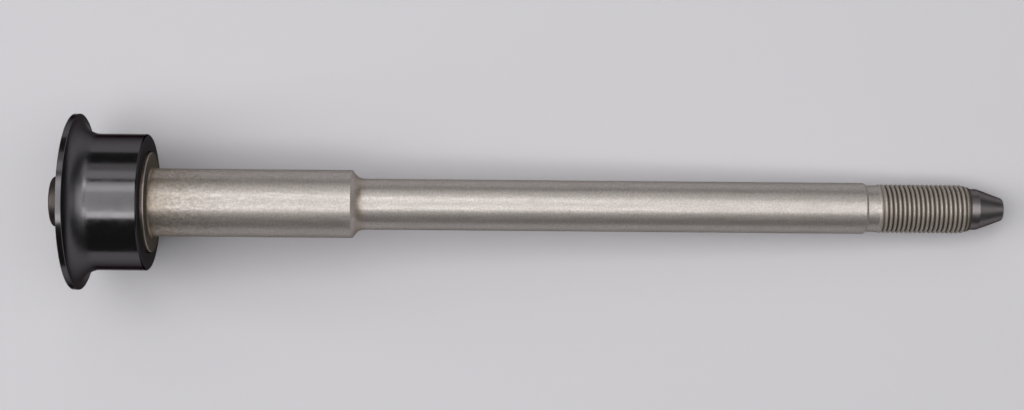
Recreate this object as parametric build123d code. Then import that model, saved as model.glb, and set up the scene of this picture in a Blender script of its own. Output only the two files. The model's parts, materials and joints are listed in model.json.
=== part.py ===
from build123d import *
from math import atan2, degrees, radians, sin, tan
import os

# A turned through axle: a stepped and threaded steel shaft that carries a flanged head at one
# end and a tapered pilot tip at the other. It lies on a flat surface, which it touches with the
# rim of the head and the far end of the thread.
# Stations run along the centre line, from the outer face of the flange towards the tip.
# Lengths are in millimetres and angles in degrees.

# Flanged head
FLANGE_DIAMETER = 58.0
RIM_WIDTH = 1.95
RIM_EDGE_BREAK = 0.15
BARREL_DIAMETER = 45.0
HEAD_DEPTH = 24.3
BARREL_EDGE_BREAK = 0.5
SEAT_EDGE_BREAK = 0.3
BOSS_DIAMETER = 16.6
BOSS_HEIGHT = 7.2
BOSS_EDGE_ROUND = 1.0

# Collar and stub, which hold the head
COLLAR_DIAMETER = 32.8
COLLAR_THICKNESS = 5.0
COLLAR_STAND_OUT = 1.1
COLLAR_EDGE_BREAK = 0.15
COLLAR_ROOT_FILLET = 0.8
STUB_DIAMETER = 14.0
STUB_LENGTH = 17.0
STUB_EDGE_BREAK = 0.8

# Journals and the step between them
LARGE_JOURNAL_DIAMETER = 22.4
LARGE_JOURNAL_LENGTH = 66.05
LARGE_JOURNAL_EDGE_BREAK = 0.1
SMALL_JOURNAL_DIAMETER = 16.8
SMALL_JOURNAL_LENGTH = 168.3
STEP_ANGLE = 53.0
STEP_ROOT_FILLET = 3.5

# Thread, drawn at its major diameter, and the relief in front of it
THREAD_DIAMETER = 16.0
THREAD_PITCH = 1.5
THREAD_LENGTH = 30.2
THREAD_LEAD_LENGTH = 2.6
RELIEF_WIDTH = 4.5
RELIEF_DEPTH = 0.35

# Pilot tip
TIP_BELOW_ROOT = 0.38
TIP_LAND_LENGTH = 2.7
TIP_CONE_LENGTH = 8.5
TIP_NOSE_DIAMETER = 7.4
TIP_NOSE_EDGE_BREAK = 0.4
SPIGOT_DIAMETER = 8.0
SPIGOT_LENGTH = 9.0
SPIGOT_EDGE_BREAK = 0.5

# Clearances between the pieces
COLLAR_GAP = 0.35
FIT_CLEARANCE = 0.05
BORE_END_GAP = 0.5

# An external metric thread is cut to this share of its pitch.
ROOT_DEPTH_PER_PITCH = 0.6134
# A fillet takes at most this share of the face that it runs into.
FILLET_SHARE = 0.9

# Radii
flange_radius = FLANGE_DIAMETER / 2
barrel_radius = BARREL_DIAMETER / 2
boss_radius = BOSS_DIAMETER / 2
collar_radius = COLLAR_DIAMETER / 2
stub_radius = STUB_DIAMETER / 2
large_radius = LARGE_JOURNAL_DIAMETER / 2
small_radius = SMALL_JOURNAL_DIAMETER / 2
thread_radius = THREAD_DIAMETER / 2
root_radius = thread_radius - ROOT_DEPTH_PER_PITCH * THREAD_PITCH
relief_radius = thread_radius - RELIEF_DEPTH
tip_radius = root_radius - TIP_BELOW_ROOT
nose_radius = TIP_NOSE_DIAMETER / 2
spigot_radius = SPIGOT_DIAMETER / 2

# Stations
collar_face = HEAD_DEPTH + COLLAR_STAND_OUT
collar_back = collar_face - COLLAR_THICKNESS
stub_end = collar_back - STUB_LENGTH
step_start = collar_face + LARGE_JOURNAL_LENGTH
relief_start = step_start + SMALL_JOURNAL_LENGTH
thread_start = relief_start + RELIEF_WIDTH
shaft_end = thread_start + THREAD_LENGTH
thread_lead = shaft_end - THREAD_LEAD_LENGTH
land_end = shaft_end + TIP_LAND_LENGTH
nose_end = land_end + TIP_CONE_LENGTH


def corner(section, station, radius):
    """Return the corner of a half-section that lies nearest to a station and a radius."""
    return section.vertices().sort_by_distance((station, radius, 0))[0]


def break_corner(section, station, radius, size):
    return chamfer(corner(section, station, radius), size)


def round_corner(section, station, radius, size):
    return fillet(corner(section, station, radius), size)


def turn(section):
    """Turn a half-section, drawn as station against radius, about the centre line."""
    return revolve(section, Axis.X)


def flanged_head():
    """The flare is a quarter circle that runs from the barrel out to the rim."""
    flare = flange_radius - barrel_radius
    seat_radius = collar_radius + COLLAR_GAP
    bore_radius = stub_radius + FIT_CLEARANCE
    bore_floor = stub_end - BORE_END_GAP
    outer_face = Polyline(
        (-BOSS_HEIGHT, 0),
        (-BOSS_HEIGHT, boss_radius),
        (0, boss_radius),
        (0, flange_radius),
        (RIM_WIDTH, flange_radius),
    )
    flare_arc = CenterArc((RIM_WIDTH + flare, flange_radius), flare, 180, 90)
    barrel_and_bore = Polyline(
        (RIM_WIDTH + flare, barrel_radius),
        (HEAD_DEPTH, barrel_radius),
        (HEAD_DEPTH, seat_radius),
        (collar_back, seat_radius),
        (collar_back, bore_radius),
        (bore_floor, bore_radius),
        (bore_floor, 0),
        (-BOSS_HEIGHT, 0),
    )
    section = make_face(outer_face + flare_arc + barrel_and_bore)
    section = round_corner(section, -BOSS_HEIGHT, boss_radius, BOSS_EDGE_ROUND)
    section = break_corner(section, 0, flange_radius, RIM_EDGE_BREAK)
    section = break_corner(section, HEAD_DEPTH, barrel_radius, BARREL_EDGE_BREAK)
    section = break_corner(section, HEAD_DEPTH, seat_radius, SEAT_EDGE_BREAK)
    return turn(section)


def step_root_fillet(cone_length):
    """Return the radius of the hollow where the step's cone runs into the small journal."""
    largest = FILLET_SHARE * cone_length / tan(radians(STEP_ANGLE / 2))
    return min(STEP_ROOT_FILLET, largest)


def axle_shaft():
    """The stub, collar, journals, relief and thread are one bar, with a socket for the tip."""
    step_height = large_radius - small_radius
    step_end = step_start + step_height / tan(radians(STEP_ANGLE))
    shoulder = abs(small_radius - relief_radius)
    socket_radius = spigot_radius + FIT_CLEARANCE
    socket_floor = shaft_end - SPIGOT_LENGTH - BORE_END_GAP
    outline = Polyline(
        (stub_end, 0),
        (stub_end, stub_radius),
        (collar_back, stub_radius),
        (collar_back, collar_radius),
        (collar_face, collar_radius),
        (collar_face, large_radius),
        (step_start, large_radius),
        (step_end, small_radius),
        (relief_start, small_radius),
        (relief_start + shoulder, relief_radius),
        (thread_start, relief_radius),
        (thread_start + RELIEF_DEPTH, thread_radius),
        (thread_lead, thread_radius),
        (shaft_end, root_radius),
        (shaft_end, socket_radius),
        (socket_floor, socket_radius),
        (socket_floor, 0),
        close=True,
    )
    section = make_face(outline)
    section = break_corner(section, stub_end, stub_radius, STUB_EDGE_BREAK)
    section = break_corner(section, collar_face, collar_radius, COLLAR_EDGE_BREAK)
    section = break_corner(section, step_start, large_radius, LARGE_JOURNAL_EDGE_BREAK)
    section = round_corner(section, collar_face, large_radius, COLLAR_ROOT_FILLET)
    root_fillet = step_root_fillet(step_height / sin(radians(STEP_ANGLE)))
    section = round_corner(section, step_end, small_radius, root_fillet)
    return turn(section)


def pilot_tip():
    spigot_end = shaft_end - SPIGOT_LENGTH
    outline = Polyline(
        (spigot_end, 0),
        (spigot_end, spigot_radius),
        (shaft_end, spigot_radius),
        (shaft_end, tip_radius),
        (land_end, tip_radius),
        (nose_end, nose_radius),
        (nose_end, 0),
        close=True,
    )
    section = make_face(outline)
    section = break_corner(section, spigot_end, spigot_radius, SPIGOT_EDGE_BREAK)
    section = break_corner(section, nose_end, nose_radius, TIP_NOSE_EDGE_BREAK)
    return turn(section)


def lean():
    """Return the angle between the centre line and the surface that the axle lies on.

    The axle tips about the inner edge of the rim until the first corner beyond it touches.
    """
    corners = (
        (step_start, large_radius),
        (relief_start, small_radius),
        (thread_lead, thread_radius),
        (land_end, tip_radius),
        (nose_end, nose_radius),
    )
    return min(degrees(atan2(flange_radius - r, x - RIM_WIDTH)) for x, r in corners)


def lay_down(pieces):
    """Return the pieces at rest: lowest point at height zero and middle of the length at the origin."""
    leaning = {name: Rot(0, lean(), 0) * piece for name, piece in pieces.items()}
    box = Compound(list(leaning.values())).bounding_box(optimal=True)
    to_rest = Pos(-box.center().X, 0, -box.min.Z)
    return {name: to_rest * piece for name, piece in leaning.items()}


def main():
    os.makedirs("parts", exist_ok=True)
    pieces = {
        "flanged_head": flanged_head(),
        "axle_shaft": axle_shaft(),
        "pilot_tip": pilot_tip(),
    }
    for name, piece in lay_down(pieces).items():
        export_step(piece, f"parts/{name}.step")


main()
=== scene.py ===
import json
import math

import bmesh
import bpy
import numpy as np
from mathutils import Matrix, Vector


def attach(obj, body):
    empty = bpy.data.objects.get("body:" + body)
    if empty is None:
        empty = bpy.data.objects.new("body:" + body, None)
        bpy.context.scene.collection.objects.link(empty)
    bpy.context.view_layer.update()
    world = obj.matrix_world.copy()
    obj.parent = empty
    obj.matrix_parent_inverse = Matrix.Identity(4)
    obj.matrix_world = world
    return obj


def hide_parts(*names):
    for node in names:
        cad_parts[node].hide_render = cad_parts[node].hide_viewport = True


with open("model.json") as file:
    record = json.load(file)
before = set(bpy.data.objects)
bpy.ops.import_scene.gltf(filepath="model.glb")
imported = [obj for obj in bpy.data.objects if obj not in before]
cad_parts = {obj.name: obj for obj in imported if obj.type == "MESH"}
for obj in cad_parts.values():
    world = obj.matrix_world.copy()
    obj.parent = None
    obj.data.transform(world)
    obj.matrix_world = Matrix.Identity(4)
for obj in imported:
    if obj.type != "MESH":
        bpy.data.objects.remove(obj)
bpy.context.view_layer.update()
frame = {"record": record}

MM = 0.001

# ---------------------------------------------------------------------------------------------
# Sizes of the axle, in metres. Stations run along its centre line from the flange's outer face.
# ---------------------------------------------------------------------------------------------
FLANGE_RADIUS = 29.0 * MM
RIM_WIDTH = 1.95 * MM
RIM_EDGE = 0.15 * MM
BARREL_RADIUS = 22.5 * MM
HEAD_DEPTH = 24.3 * MM
BARREL_EDGE = 0.5 * MM
BOSS_RADIUS = 8.3 * MM
BOSS_HEIGHT = 7.2 * MM
BOSS_EDGE = 1.0 * MM
SEAT_GAP = 0.15 * MM
SEAT_EDGE = 0.3 * MM

COLLAR_RADIUS = 16.4 * MM
COLLAR_THICKNESS = 5.0 * MM
COLLAR_STAND_OUT = 1.1 * MM
COLLAR_EDGE = 0.2 * MM
COLLAR_FILLET = 0.8 * MM
LARGE_RADIUS = 11.2 * MM
LARGE_LENGTH = 66.05 * MM
LARGE_EDGE = 0.1 * MM
STEP_ANGLE = math.radians(53.0)
STEP_FILLET = 3.5 * MM
SMALL_RADIUS = 8.4 * MM
SMALL_LENGTH = 168.3 * MM
RELIEF_WIDTH = 4.5 * MM
RELIEF_RADIUS = 7.65 * MM
THREAD_RADIUS = 8.0 * MM
THREAD_LENGTH = 30.2 * MM
THREAD_LEAD = 2.6 * MM
PITCH = 1.5 * MM
# The depth and the root radius of a metric thread
ROOT_DEPTH = 0.6134 * PITCH
ROOT_ROUND = 0.144 * PITCH
CREST_ROUND = 0.32 * MM
FIRST_ROOT = 1.0 * MM
RUN_IN = 1.9 * MM
# The turns start before the thread and end after it, so that they fill it when they are cut off
FIRST_TURN = -2
LAST_TURN = math.ceil(THREAD_LENGTH / PITCH)

TIP_STEP = 0.38 * MM
TIP_RADIUS = THREAD_RADIUS - ROOT_DEPTH - TIP_STEP
TIP_LAND = 2.7 * MM
TIP_CONE = 8.5 * MM
NOSE_RADIUS = 3.7 * MM
NOSE_EDGE = 0.4 * MM

FLARE_RADIUS = FLANGE_RADIUS - BARREL_RADIUS
FLARE_END = RIM_WIDTH + FLARE_RADIUS
COLLAR_FACE = HEAD_DEPTH + COLLAR_STAND_OUT
COLLAR_BACK = COLLAR_FACE - COLLAR_THICKNESS
STEP_START = COLLAR_FACE + LARGE_LENGTH
RELIEF_START = STEP_START + SMALL_LENGTH
THREAD_START = RELIEF_START + RELIEF_WIDTH
SHAFT_END = THREAD_START + THREAD_LENGTH
THREAD_END = SHAFT_END - THREAD_LEAD
LAND_END = SHAFT_END + TIP_LAND
NOSE_END = LAND_END + TIP_CONE

SEGMENTS = 192
FLANK_ANGLE = math.radians(30)
SHARP_ANGLE = math.radians(20)
WELD_DISTANCE = 0.002 * MM


# ---------------------------------------------------------------------------------------------
# Where the axle lies: its centre line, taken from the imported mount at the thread
# ---------------------------------------------------------------------------------------------
def mount(name):
    return next(m for m in frame["record"]["mounts"] if m["name"] == name)


ALONG = Vector(mount("thread")["axis"]).normalized()
ACROSS = Vector((0, 1, 0))
ABOVE = ALONG.cross(ACROSS)
THREAD_MIDDLE = (THREAD_START + THREAD_RADIUS - RELIEF_RADIUS + THREAD_END) / 2
FLANGE_CENTRE = Vector(mount("thread")["pos_m"]) - ALONG * THREAD_MIDDLE
LEAN = math.atan2(ABOVE.x, ABOVE.z)
AXLE_AXES = Matrix((ALONG, ACROSS, ABOVE)).transposed()
TO_WORLD = Matrix.Translation(FLANGE_CENTRE) @ AXLE_AXES.to_4x4()


# ---------------------------------------------------------------------------------------------
# Turned outlines, as (station, radius) points
# ---------------------------------------------------------------------------------------------
def arc(centre, radius, start, end, steps):
    """Points on an arc between two angles in degrees."""
    angles = np.radians(np.linspace(start, end, steps + 1))
    return [(centre[0] + radius * math.cos(a), centre[1] + radius * math.sin(a)) for a in angles]


def head_outline():
    """The flare's arc starts two degrees late, which leaves the rim's inner edge broken."""
    seat = COLLAR_RADIUS + SEAT_GAP
    boss_edge = (-BOSS_HEIGHT + BOSS_EDGE, BOSS_RADIUS - BOSS_EDGE)
    points = [(-BOSS_HEIGHT, 0)]
    points += arc(boss_edge, BOSS_EDGE, start=180, end=90, steps=8)
    points += [(0, BOSS_RADIUS), (0, FLANGE_RADIUS - RIM_EDGE), (RIM_EDGE, FLANGE_RADIUS)]
    points += [(RIM_WIDTH - RIM_EDGE, FLANGE_RADIUS)]
    points += arc((FLARE_END, FLANGE_RADIUS), FLARE_RADIUS, start=182, end=270, steps=40)
    points += [(HEAD_DEPTH - BARREL_EDGE, BARREL_RADIUS), (HEAD_DEPTH, BARREL_RADIUS - BARREL_EDGE)]
    points += [(HEAD_DEPTH, seat + SEAT_EDGE), (HEAD_DEPTH - SEAT_EDGE, seat), (COLLAR_BACK, seat)]
    points += [(COLLAR_BACK, 0)]
    return points


def shaft_outline():
    """The shaft up to its thread, which thread_grid adds."""
    step_height = LARGE_RADIUS - SMALL_RADIUS
    step_end = STEP_START + step_height / math.tan(STEP_ANGLE)
    tangent = STEP_FILLET * math.tan(STEP_ANGLE / 2)
    slant = math.degrees(STEP_ANGLE)
    collar_edge = (COLLAR_FACE - COLLAR_EDGE, COLLAR_RADIUS - COLLAR_EDGE)
    collar_root = (COLLAR_FACE + COLLAR_FILLET, LARGE_RADIUS + COLLAR_FILLET)
    large_edge = (STEP_START - LARGE_EDGE, LARGE_RADIUS - LARGE_EDGE)
    step_root = (step_end + tangent, SMALL_RADIUS + STEP_FILLET)
    relief_floor = RELIEF_START + SMALL_RADIUS - RELIEF_RADIUS
    points = [(COLLAR_BACK, 0), (COLLAR_BACK, COLLAR_RADIUS)]
    points += arc(collar_edge, COLLAR_EDGE, start=90, end=0, steps=6)
    points += arc(collar_root, COLLAR_FILLET, start=180, end=270, steps=10)
    points += arc(large_edge, LARGE_EDGE, start=90, end=90 - slant, steps=4)
    points += arc(step_root, STEP_FILLET, start=270 - slant, end=270, steps=12)
    points += [(RELIEF_START, SMALL_RADIUS), (relief_floor, RELIEF_RADIUS)]
    points += [(THREAD_START, RELIEF_RADIUS)]
    return points


def tip_outline():
    points = [(SHAFT_END, 0), (SHAFT_END, TIP_RADIUS), (LAND_END, TIP_RADIUS)]
    points += [(NOSE_END - NOSE_EDGE, NOSE_RADIUS), (NOSE_END, NOSE_RADIUS - NOSE_EDGE), (NOSE_END, 0)]
    return points


# ---------------------------------------------------------------------------------------------
# Meshes
# ---------------------------------------------------------------------------------------------
def turned_grid(outline):
    """Vertices and faces of an outline turned about the centre line."""
    angles = np.linspace(0, 2 * math.pi, SEGMENTS, endpoint=False)
    verts, rings, faces = [], [], []
    for station, radius in outline:
        if radius == 0:
            rings.append([len(verts)] * SEGMENTS)
            verts.append((station, 0, 0))
        else:
            rings.append(range(len(verts), len(verts) + SEGMENTS))
            verts += [(station, radius * math.cos(a), radius * math.sin(a)) for a in angles]
    for near, far in zip(rings, rings[1:]):
        for i in range(SEGMENTS):
            j = (i + 1) % SEGMENTS
            corners = dict.fromkeys((near[i], near[j], far[j], far[i]))
            faces.append(tuple(corners))
    return verts, faces


def groove_depth(offset):
    """Depth of the thread's groove below its rounded crest, at an offset from the middle of its root."""
    offset = abs(offset)
    from_crest = PITCH / 2 - offset
    shoulder = CREST_ROUND * math.cos(FLANK_ANGLE)
    if from_crest < shoulder:
        return CREST_ROUND - math.sqrt(CREST_ROUND ** 2 - from_crest ** 2)
    tangent = ROOT_ROUND * math.cos(FLANK_ANGLE)
    above_flank = CREST_ROUND * (1 - math.sin(FLANK_ANGLE))
    if offset > tangent:
        return above_flank + (from_crest - shoulder) / math.tan(FLANK_ANGLE)
    below_flank = math.sqrt(ROOT_ROUND ** 2 - offset ** 2) - ROOT_ROUND * math.sin(FLANK_ANGLE)
    return above_flank + (PITCH / 2 - tangent - shoulder) / math.tan(FLANK_ANGLE) + below_flank


def thread_blank(station):
    """Radius of the thread's blank: its relieved start, its crests and its leading chamfer."""
    start = RELIEF_RADIUS + (station - THREAD_START)
    end = THREAD_RADIUS - ROOT_DEPTH * (station - THREAD_END) / THREAD_LEAD
    return min(start, THREAD_RADIUS, end)


def thread_grid():
    """The thread as rings that follow its helix, cut off square at both ends."""
    tangent = ROOT_ROUND * math.cos(FLANK_ANGLE)
    crest_angles = range(60, -1, -15)
    crest_arc = [PITCH / 2 - CREST_ROUND * math.sin(math.radians(a)) for a in crest_angles]
    half = [tangent / 2, tangent] + crest_arc
    offsets = [-o for o in reversed(half[:-1])] + [0] + half
    turns = range(FIRST_TURN, LAST_TURN + 1)
    roots = [THREAD_START + FIRST_ROOT + turn * PITCH for turn in turns]
    rings = [(root + offset, groove_depth(offset)) for root in roots for offset in offsets]
    verts, faces = [], []
    for base, depth in rings:
        for column in range(SEGMENTS + 1):
            angle = 2 * math.pi * column / SEGMENTS
            station = base + PITCH * column / SEGMENTS
            station = min(max(station, THREAD_START), SHAFT_END)
            run_in = min(1, max(0, (station - THREAD_START) / RUN_IN))
            radius = min(thread_blank(station), THREAD_RADIUS - depth * run_in)
            verts.append((station, radius * math.cos(angle), radius * math.sin(angle)))
    row = SEGMENTS + 1
    for ring in range(len(rings) - 1):
        for column in range(SEGMENTS):
            first = ring * row + column
            faces.append((first, first + 1, first + 1 + row, first + row))
    return verts, faces


def make_piece(name, grids):
    """One piece from grids in the axle's own frame, welded where they meet."""
    mesh = bpy.data.meshes.new(name)
    verts, faces = [], []
    for grid_verts, grid_faces in grids:
        start = len(verts)
        verts += grid_verts
        faces += [tuple(start + i for i in face) for face in grid_faces]
    mesh.from_pydata(verts, [], faces)
    work = bmesh.new()
    work.from_mesh(mesh)
    bmesh.ops.remove_doubles(work, verts=work.verts, dist=WELD_DISTANCE)
    bmesh.ops.recalc_face_normals(work, faces=work.faces)
    work.to_mesh(mesh)
    work.free()
    mesh.transform(TO_WORLD)
    mesh.shade_smooth()
    mesh.set_sharp_from_angle(angle=SHARP_ANGLE)
    piece = bpy.data.objects.new(name, mesh)
    bpy.context.scene.collection.objects.link(piece)
    return piece


# ---------------------------------------------------------------------------------------------
# Colours, roughness, where the stains lie, and the painted shade and highlights
# ---------------------------------------------------------------------------------------------
GRAIN_DARK = (0.445, 0.418, 0.405)
GRAIN_LIGHT = (0.630, 0.594, 0.578)
STREAK = (0.34, 0.318, 0.305)
PATCH = (0.46, 0.43, 0.40)
DULL_SPOT = (0.50, 0.43, 0.36)
SOIL = (0.33, 0.285, 0.235)
STAIN_SPECK = (0.27, 0.215, 0.155)
STAIN_BLOTCH = (0.31, 0.25, 0.185)
STAIN_RING = (0.25, 0.195, 0.14)
FILM = (0.50, 0.42, 0.34)
# Darker brown in the corner between the collar and the journal
CORNER_BROWN = (0.22, 0.165, 0.115)
# Painted shade on the collar's face
FACE_PAINTED_SHADE = (0.235, 0.21, 0.175)
# Painted highlight on the collar's edge
EDGE_PAINTED_HIGHLIGHT = (0.46, 0.44, 0.42)
# Dirt and painted shade in the collar's seat
SEAT_DIRT_AND_SHADE = (0.16, 0.12, 0.10)
STEP_FILM = (0.42, 0.345, 0.27)
THREAD_FILM = (0.40, 0.35, 0.29)
# Dirt and painted shade in the roots of the thread
ROOT_DIRT_AND_SHADE = (0.09, 0.07, 0.05)

# Stations where soil, stains, rings and film end towards the tip, and where they are strongest
SOIL_END = STEP_START
SOIL_FULL = STEP_START - 20 * MM
STAIN_END = 58 * MM
STAIN_FULL = 27 * MM
RINGS_END = 33 * MM
RINGS_FULL = 26 * MM
FILM_END = 36 * MM

# How far a streak shifts the mix of dull and smooth spots
STREAK_DRIFT = 0.14
STEEL_GRAZING = (0.15, 0.15, 0.15)
STEEL_SMOOTH = 0.32
STEEL_DULL = 0.68
THREAD_DULLER = 0.12
GRAIN_DEPTH = 0.016 * MM

ANODISED = (0.120, 0.115, 0.120)
BOSS = (0.075, 0.062, 0.056)
# Painted shade on the barrel's edge chamfer
BARREL_EDGE_PAINTED_SHADE = (0.045, 0.042, 0.042)
ANODISED_GRAZING = (0.22, 0.21, 0.21)
ANODISED_ROUGHNESS = (0.13, 0.18)
FLARE_DULLER = 0.2
BOSS_DULLER = 0.28
END_DULLER = 0.25

TIP = (0.220, 0.202, 0.205)
TIP_GRAZING = (0.12, 0.115, 0.115)
TIP_ROUGHNESS = (0.33, 0.39)

# The range that most of a noise's values lie in
NOISE_LOW = 0.3
NOISE_HIGH = 0.7

# Sockets of the Mix node when it mixes colours
MIX_FACTOR = 0
MIX_FIRST = 6
MIX_SECOND = 7
MIX_RESULT = 2


# ---------------------------------------------------------------------------------------------
# Node materials
# ---------------------------------------------------------------------------------------------
def node(tree, kind, values=None, **settings):
    made = tree.nodes.new(kind)
    for name, value in settings.items():
        setattr(made, name, value)
    for name, value in (values or {}).items():
        if isinstance(value, bpy.types.NodeSocket):
            tree.links.new(value, made.inputs[name])
        else:
            made.inputs[name].default_value = value
    return made


def noise(tree, place, size, detail, roughness, stretch=1.0):
    """Noise with features of a size in metres, drawn out along the axle."""
    scale = (1 / stretch, 1, 1)
    drawn = node(tree, "ShaderNodeMapping", {"Vector": place, "Scale": scale}).outputs["Vector"]
    values = {"Vector": drawn, "Scale": 1 / size, "Detail": detail, "Roughness": roughness}
    return node(tree, "ShaderNodeTexNoise", values).outputs["Fac"]


def ramp(tree, value, low, high, to_low=0.0, to_high=1.0):
    """A smooth change from to_low to to_high while the value goes from low to high."""
    values = {"Value": value, "From Min": low, "From Max": high, "To Min": to_low, "To Max": to_high}
    return node(tree, "ShaderNodeMapRange", values, interpolation_type="SMOOTHSTEP").outputs["Result"]


def calc(tree, operation, first, second):
    values = {0: first, 1: second}
    return node(tree, "ShaderNodeMath", values, operation=operation).outputs["Value"]


def blend(tree, factor, first, second):
    """The first colour where the factor is zero, and the second where it is one."""
    mixer = tree.nodes.new("ShaderNodeMix")
    mixer.data_type = "RGBA"
    for index, value in ((MIX_FACTOR, factor), (MIX_FIRST, first), (MIX_SECOND, second)):
        socket = mixer.inputs[index]
        if isinstance(value, bpy.types.NodeSocket):
            tree.links.new(value, socket)
        else:
            socket.default_value = value if isinstance(value, float) else (*value, 1)
    return mixer.outputs[MIX_RESULT]


def new_material(name):
    made = bpy.data.materials.new(name)
    made.use_nodes = True
    return made, made.node_tree, made.node_tree.nodes["Principled BSDF"]


def axle_place(tree):
    """A point's place in the axle's frame: its station, and its distance from the centre line."""
    coords = node(tree, "ShaderNodeTexCoord").outputs["Object"]
    shift = -(AXLE_AXES.transposed() @ FLANGE_CENTRE)
    values = {"Vector": coords, "Location": shift, "Rotation": (0, -LEAN, 0)}
    place = node(tree, "ShaderNodeMapping", values).outputs["Vector"]
    parts = node(tree, "ShaderNodeSeparateXYZ", {"Vector": place}).outputs
    flat = node(tree, "ShaderNodeCombineXYZ", {"Y": parts["Y"], "Z": parts["Z"]}).outputs["Vector"]
    radius = node(tree, "ShaderNodeVectorMath", {0: flat}, operation="LENGTH").outputs["Value"]
    return place, parts["X"], radius


def bump(tree, height, depth):
    values = {"Height": height, "Distance": depth}
    return node(tree, "ShaderNodeBump", values).outputs["Normal"]


def tinted(tree, colour, mask, tint, share):
    """A colour with a share of a tint laid over it where the mask is one."""
    return blend(tree, calc(tree, "MULTIPLY", mask, share), colour, tint)


def spread_noise(tree, value):
    """Noise drawn out to the whole range from zero to one."""
    return ramp(tree, value, NOISE_LOW, NOISE_HIGH)


def grained_steel(tree, place, grain, streaks, dull):
    """Turned steel: a fine grain, with faint streaks along the axle, patches and dull spots."""
    patches = noise(tree, place, size=9 * MM, detail=3.0, roughness=0.55, stretch=2.0)
    patched = ramp(tree, patches, low=0.25, high=0.75)
    streaked = calc(tree, "SUBTRACT", 1.0, spread_noise(tree, streaks))
    colour = blend(tree, spread_noise(tree, grain), GRAIN_DARK, GRAIN_LIGHT)
    colour = tinted(tree, colour, streaked, STREAK, share=0.07)
    colour = tinted(tree, colour, patched, PATCH, share=0.3)
    return tinted(tree, colour, dull, DULL_SPOT, share=0.45)


def stained_journal(tree, colour, place, station):
    """Soil on the large journal, and brown specks, blotches and rings that thicken to the collar."""
    specks = noise(tree, place, size=1.0 * MM, detail=3.0, roughness=0.65, stretch=1.6)
    blotches = noise(tree, place, size=2.6 * MM, detail=3.0, roughness=0.6, stretch=1.3)
    along = node(tree, "ShaderNodeCombineXYZ", {"X": station}).outputs["Vector"]
    rings = noise(tree, along, size=0.6 * MM, detail=2.0, roughness=0.6)
    on_large = ramp(tree, station, SOIL_END, SOIL_FULL)
    near_collar = ramp(tree, station, STAIN_END, STAIN_FULL)
    at_collar = ramp(tree, station, RINGS_END, RINGS_FULL)
    soiled = calc(tree, "MULTIPLY", on_large, ramp(tree, specks, low=0.42, high=0.60))
    specked = calc(tree, "MULTIPLY", near_collar, ramp(tree, specks, low=0.40, high=0.62))
    blotched = calc(tree, "MULTIPLY", near_collar, ramp(tree, blotches, low=0.42, high=0.62))
    ringed = calc(tree, "MULTIPLY", at_collar, ramp(tree, rings, low=0.45, high=0.65))
    colour = tinted(tree, colour, soiled, SOIL, share=0.15)
    colour = tinted(tree, colour, specked, STAIN_SPECK, share=0.46)
    colour = tinted(tree, colour, blotched, STAIN_BLOTCH, share=0.3)
    return tinted(tree, colour, ringed, STAIN_RING, share=0.35)


def collar_dirt_and_painted_light(tree, colour, station, radius):
    """A brown film up to the collar, darker brown in its corner, painted shade on its face, dirt and
    painted shade in its seat, and a painted highlight on its edge.
    """
    film = ramp(tree, station, FILM_END, COLLAR_FACE)
    corner = ramp(tree, station, COLLAR_FACE + 2.0 * MM, COLLAR_FACE + 0.4 * MM)
    face = ramp(tree, station, COLLAR_FACE + 0.35 * MM, COLLAR_FACE - 0.02 * MM)
    painted_edge = ramp(tree, radius, COLLAR_RADIUS - 0.25 * MM, COLLAR_RADIUS - 0.1 * MM)
    seat = ramp(tree, station, COLLAR_FACE - 0.28 * MM, COLLAR_FACE - 0.42 * MM)
    colour = tinted(tree, colour, film, FILM, share=0.35)
    # Darker brown in the corner between the collar and the journal
    colour = tinted(tree, colour, corner, CORNER_BROWN, share=0.55)
    # Painted shade: the collar's face is coloured dark brown-grey
    colour = tinted(tree, colour, face, FACE_PAINTED_SHADE, share=0.9)
    # Painted highlight: the collar's edge is coloured paler than the stained steel around it
    colour = blend(tree, painted_edge, colour, EDGE_PAINTED_HIGHLIGHT)
    # Dirt and painted shade on the collar's side, in the seat beside the head's face
    return blend(tree, seat, colour, SEAT_DIRT_AND_SHADE)


def hollows_dirt_and_shade(tree, colour, station, radius, in_thread):
    """A brown band in the step's root, and dirt and painted shade in the thread's grooves."""
    from_step = ramp(tree, station, STEP_START + 0.6 * MM, STEP_START + 1.4 * MM)
    to_journal = ramp(tree, station, STEP_START + 5.5 * MM, STEP_START + 2.4 * MM)
    hollow = calc(tree, "MULTIPLY", from_step, to_journal)
    root = ramp(tree, radius, THREAD_RADIUS - 0.4 * MM, THREAD_RADIUS - groove_depth(0))
    in_root_dirt_and_shade = calc(tree, "MULTIPLY", in_thread, root)
    colour = tinted(tree, colour, hollow, STEP_FILM, share=0.5)
    colour = tinted(tree, colour, in_thread, THREAD_FILM, share=0.4)
    # Dirt and painted shade in the roots of the thread's grooves
    return tinted(tree, colour, in_root_dirt_and_shade, ROOT_DIRT_AND_SHADE, share=0.9)


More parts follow.
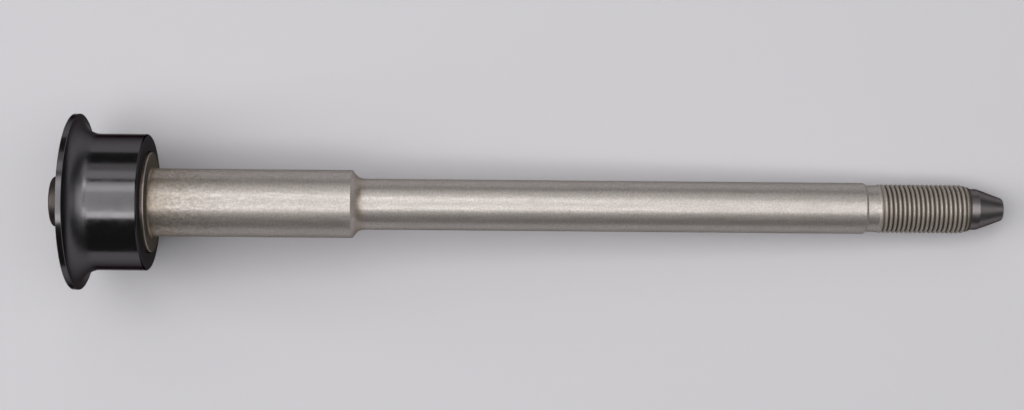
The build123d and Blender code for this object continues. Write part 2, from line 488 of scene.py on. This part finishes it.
def satin_steel():
    """Worn turned steel: smooth spots give its sharp highlights, dull spots its soft ones."""
    made, tree, shader = new_material("satin_steel_worn")
    place, station, radius = axle_place(tree)
    fine = noise(tree, place, size=0.12 * MM, detail=1.0, roughness=0.5)
    grain = noise(tree, place, size=0.6 * MM, detail=3.0, roughness=0.6)
    streaks = noise(tree, place, size=0.9 * MM, detail=2.0, roughness=0.5, stretch=7.0)
    drift = calc(tree, "MULTIPLY", calc(tree, "SUBTRACT", 0.5, streaks), STREAK_DRIFT)
    dull = ramp(tree, calc(tree, "ADD", fine, drift), low=0.42, high=0.58)
    in_thread = ramp(tree, station, THREAD_START - 0.2 * MM, THREAD_START + 0.4 * MM)

    colour = grained_steel(tree, place, grain, streaks, dull)
    colour = stained_journal(tree, colour, place, station)
    colour = collar_dirt_and_painted_light(tree, colour, station, radius)
    colour = hollows_dirt_and_shade(tree, colour, station, radius, in_thread)

    roughness = calc(tree, "ADD", calc(tree, "MULTIPLY", dull, STEEL_DULL - STEEL_SMOOTH), STEEL_SMOOTH)
    roughness = calc(tree, "ADD", roughness, calc(tree, "MULTIPLY", in_thread, THREAD_DULLER))
    tree.links.new(colour, shader.inputs["Base Color"])
    tree.links.new(roughness, shader.inputs["Roughness"])
    tree.links.new(bump(tree, grain, GRAIN_DEPTH), shader.inputs["Normal"])
    shader.inputs["Metallic"].default_value = 1
    shader.inputs["Specular Tint"].default_value = (*STEEL_GRAZING, 1)
    return made


def black_anodised():
    """Glossy black metal, duller in the flare, on the boss and on the barrel's end face, with painted
    shade on the barrel's edge chamfer.
    """
    made, tree, shader = new_material("black_anodised_gloss")
    place, station, _ = axle_place(tree)
    haze = noise(tree, place, size=3 * MM, detail=3.0, roughness=0.6)
    boss = ramp(tree, station, -0.2 * MM, -0.6 * MM)
    painted_edge = ramp(tree, station, HEAD_DEPTH - BARREL_EDGE, HEAD_DEPTH - 0.8 * BARREL_EDGE)
    off_end = ramp(tree, station, HEAD_DEPTH, HEAD_DEPTH - 0.2 * BARREL_EDGE)
    colour = blend(tree, boss, ANODISED, BOSS)
    # Painted shade: the barrel's edge chamfer is coloured darker than the rest of the head
    colour = blend(tree, calc(tree, "MULTIPLY", painted_edge, off_end), colour, BARREL_EDGE_PAINTED_SHADE)

    flare = ramp(tree, station, FLARE_END + 1.2 * MM, FLARE_END - 2.4 * MM, 0, FLARE_DULLER)
    off_rim = calc(tree, "SUBTRACT", 1.0, ramp(tree, station, RIM_WIDTH, RIM_WIDTH - RIM_EDGE))
    end_face = ramp(tree, station, HEAD_DEPTH - 0.3 * MM, HEAD_DEPTH - 0.1 * MM, 0, END_DULLER)
    roughness = ramp(tree, haze, NOISE_LOW, NOISE_HIGH, *ANODISED_ROUGHNESS)
    roughness = calc(tree, "ADD", roughness, calc(tree, "MULTIPLY", flare, off_rim))
    roughness = calc(tree, "ADD", roughness, calc(tree, "MULTIPLY", boss, BOSS_DULLER))
    roughness = calc(tree, "ADD", roughness, end_face)
    tree.links.new(colour, shader.inputs["Base Color"])
    tree.links.new(roughness, shader.inputs["Roughness"])
    shader.inputs["Metallic"].default_value = 1
    shader.inputs["Specular Tint"].default_value = (*ANODISED_GRAZING, 1)
    return made


def black_plastic():
    """Satin black, drawn as a dark metal, which mirrors more than bare plastic does."""
    made, tree, shader = new_material("black_tip_satin")
    place, _, _ = axle_place(tree)
    haze = noise(tree, place, size=1.5 * MM, detail=3.0, roughness=0.6)
    roughness = ramp(tree, haze, NOISE_LOW, NOISE_HIGH, *TIP_ROUGHNESS)
    tree.links.new(roughness, shader.inputs["Roughness"])
    shader.inputs["Base Color"].default_value = (*TIP, 1)
    shader.inputs["Metallic"].default_value = 1
    shader.inputs["Specular Tint"].default_value = (*TIP_GRAZING, 1)
    return made


# ---------------------------------------------------------------------------------------------
# The three pieces
# ---------------------------------------------------------------------------------------------
def add_piece(name, grids, finish, cad_node):
    piece = make_piece(name, grids)
    piece.data.materials.append(finish)
    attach(piece, "root")
    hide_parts(cad_node)


def add_axle():
    end_face = turned_grid([(SHAFT_END, thread_blank(SHAFT_END)), (SHAFT_END, 0)])
    shaft = [turned_grid(shaft_outline()), thread_grid(), end_face]
    add_piece("shaft_turned", shaft, satin_steel(), "axle_shaft")
    head = [turned_grid(head_outline())]
    add_piece("head_turned", head, black_anodised(), "flanged_head")
    add_piece("tip_turned", [turned_grid(tip_outline())], black_plastic(), "pilot_tip")


# ---------------------------------------------------------------------------------------------
# Floor, light and camera
# ---------------------------------------------------------------------------------------------
FLOOR_COLOUR = (0.56, 0.55, 0.573)
FLOOR_ROUGHNESS = 0.9
FLOOR_SIZE = 8
ROOM_GREY = 0.05
WALL_WIDTH = 1.6
# An area lamp's radiance is its energy over four times its area
ENERGY_FACTOR = 4

RIG_HEIGHT = 2.0
STRIP_HEIGHT = RIG_HEIGHT - 0.02

# Where the overhead panels end or meet along X, in metres, from the head's side to the tip's
RIG_LEFT = -2.6
RIG_HEAD = -0.405
RIG_DIVIDE = -0.27
RIG_STEP = -0.08
RIG_NEAR = 0.16
RIG_STRIPS = 0.45
RIG_RIGHT = 0.95
RIG_FADE = 2.2
RIG_END = 4.4


def add_floor():
    bpy.ops.mesh.primitive_plane_add(size=FLOOR_SIZE)
    floor = bpy.context.object
    floor.name = "floor"
    made, _, shader = new_material("floor_paint")
    shader.inputs["Base Color"].default_value = (*FLOOR_COLOUR, 1)
    shader.inputs["Roughness"].default_value = FLOOR_ROUGHNESS
    floor.data.materials.append(made)


def add_lamp(name, size_x, size_y, radiance, location, turn=0.0):
    """A rectangular lamp, turned about Y from facing down, that the camera doesn't see."""
    data = bpy.data.lights.new(name, "AREA")
    data.shape = "RECTANGLE"
    data.size = size_x
    data.size_y = size_y
    data.energy = ENERGY_FACTOR * radiance * data.size * data.size_y
    lamp = bpy.data.objects.new(name, data)
    lamp.location = location
    lamp.rotation_euler = (0, turn, 0)
    lamp.visible_camera = False
    bpy.context.scene.collection.objects.link(lamp)


def add_panel(name, left, right, near, far, radiance, height=RIG_HEIGHT):
    """A lamp panel overhead, seen from the axle between two angles from straight up, towards +Y."""
    near_y = height * math.tan(math.radians(near))
    far_y = height * math.tan(math.radians(far))
    middle = ((left + right) / 2, (near_y + far_y) / 2, height)
    add_lamp(name, right - left, far_y - near_y, radiance, middle)


def add_strip(name, left, right, near, far, radiance):
    """A narrow panel just below the others, for a highlight along the axle."""
    add_panel(name, left, right, near, far, radiance, STRIP_HEIGHT)


def add_wall(name, x, low, high, radiance):
    """An upright lamp panel at one end of the axle, facing it, between two heights."""
    turn = math.copysign(math.pi / 2, x)
    add_lamp(name, high - low, WALL_WIDTH, radiance, (x, 0, (low + high) / 2), turn)


def add_lights():
    """Panels over the head, the journals and the tip, strips for the highlights, and end walls."""
    add_panel("lamp_head", RIG_LEFT, RIG_HEAD, near=-16, far=17, radiance=1.65)
    add_panel("lamp_left", RIG_HEAD, RIG_DIVIDE, near=-16, far=17, radiance=0.7)
    add_panel("lamp_left_front", RIG_LEFT, RIG_DIVIDE, near=-26, far=-16, radiance=2.5)
    add_panel("lamp_left_back", RIG_LEFT, RIG_DIVIDE, near=17, far=26, radiance=1.75)
    add_panel("lamp_left_outer", RIG_LEFT, RIG_DIVIDE, near=26, far=32, radiance=1.15)
    add_panel("lamp_left_near", RIG_LEFT, RIG_DIVIDE, near=38, far=52, radiance=0.75)
    add_panel("lamp_left_far", RIG_LEFT, RIG_DIVIDE, near=52, far=66, radiance=0.35)

    add_panel("lamp_middle", RIG_DIVIDE, RIG_STRIPS, near=-24, far=42, radiance=0.85)
    add_strip("lamp_large_front", RIG_DIVIDE, RIG_STEP, near=-19, far=-9, radiance=2.0)
    add_strip("lamp_middle_front", RIG_STEP, RIG_NEAR, near=-23, far=-13, radiance=2.5)
    add_strip("lamp_middle_back", RIG_DIVIDE, RIG_NEAR, near=23, far=33, radiance=2.5)
    add_strip("lamp_fade_front", RIG_NEAR, RIG_STRIPS, near=-22, far=-11, radiance=2.2)
    add_strip("lamp_fade_back", RIG_NEAR, RIG_STRIPS, near=18, far=30, radiance=2.3)
    add_panel("lamp_middle_far", RIG_DIVIDE, RIG_RIGHT, near=42, far=68, radiance=0.7)
    add_panel("lamp_middle_near", RIG_DIVIDE, RIG_RIGHT, near=-52, far=-25, radiance=0.08)

    add_panel("lamp_right", RIG_STRIPS, RIG_RIGHT, near=-23, far=21, radiance=1.5)
    add_panel("lamp_right_fade", RIG_RIGHT, RIG_FADE, near=-24, far=30, radiance=1.1)
    add_panel("lamp_right_end", RIG_FADE, RIG_END, near=-24, far=30, radiance=0.26)

    add_wall("wall_left", x=-3.0, low=0.8, high=2.1, radiance=5.0)
    add_wall("wall_right", x=3.6, low=0.1, high=1.7, radiance=0.6)


def add_room():
    world = bpy.data.worlds.new("room")
    world.use_nodes = True
    grey = (ROOM_GREY, ROOM_GREY, ROOM_GREY, 1)
    world.node_tree.nodes["Background"].inputs["Color"].default_value = grey
    bpy.context.scene.world = world


IMAGE_WIDTH = 1024
FOCAL_PIXELS = 1889.5
CAMERA_DISTANCE = 623.6 * MM
AIM_STATION = 154.5 * MM
AIM_RIGHT = 10.52 * MM
AIM_UP = -0.24 * MM
CAMERA_YAW = math.radians(-0.32)
CAMERA_ROLL = math.radians(0.497)


def add_camera():
    """Square above the axle but for a slight yaw and roll, with the aim point just off the centre."""
    data = bpy.data.cameras.new("camera")
    data.lens = data.sensor_width * FOCAL_PIXELS / IMAGE_WIDTH
    camera = bpy.data.objects.new("camera", data)
    bpy.context.scene.collection.objects.link(camera)
    axes = AXLE_AXES @ Matrix.Rotation(CAMERA_YAW, 3, "Y") @ Matrix.Rotation(CAMERA_ROLL, 3, "Z")
    aim = FLANGE_CENTRE + ALONG * AIM_STATION
    eye = aim - axes @ Vector((AIM_RIGHT, AIM_UP, -CAMERA_DISTANCE))
    camera.matrix_world = Matrix.Translation(eye) @ axes.to_4x4()
    bpy.context.scene.camera = camera


add_axle()
add_floor()
add_lights()
add_room()
add_camera()
bpy.context.scene.view_settings.view_transform = "Standard"
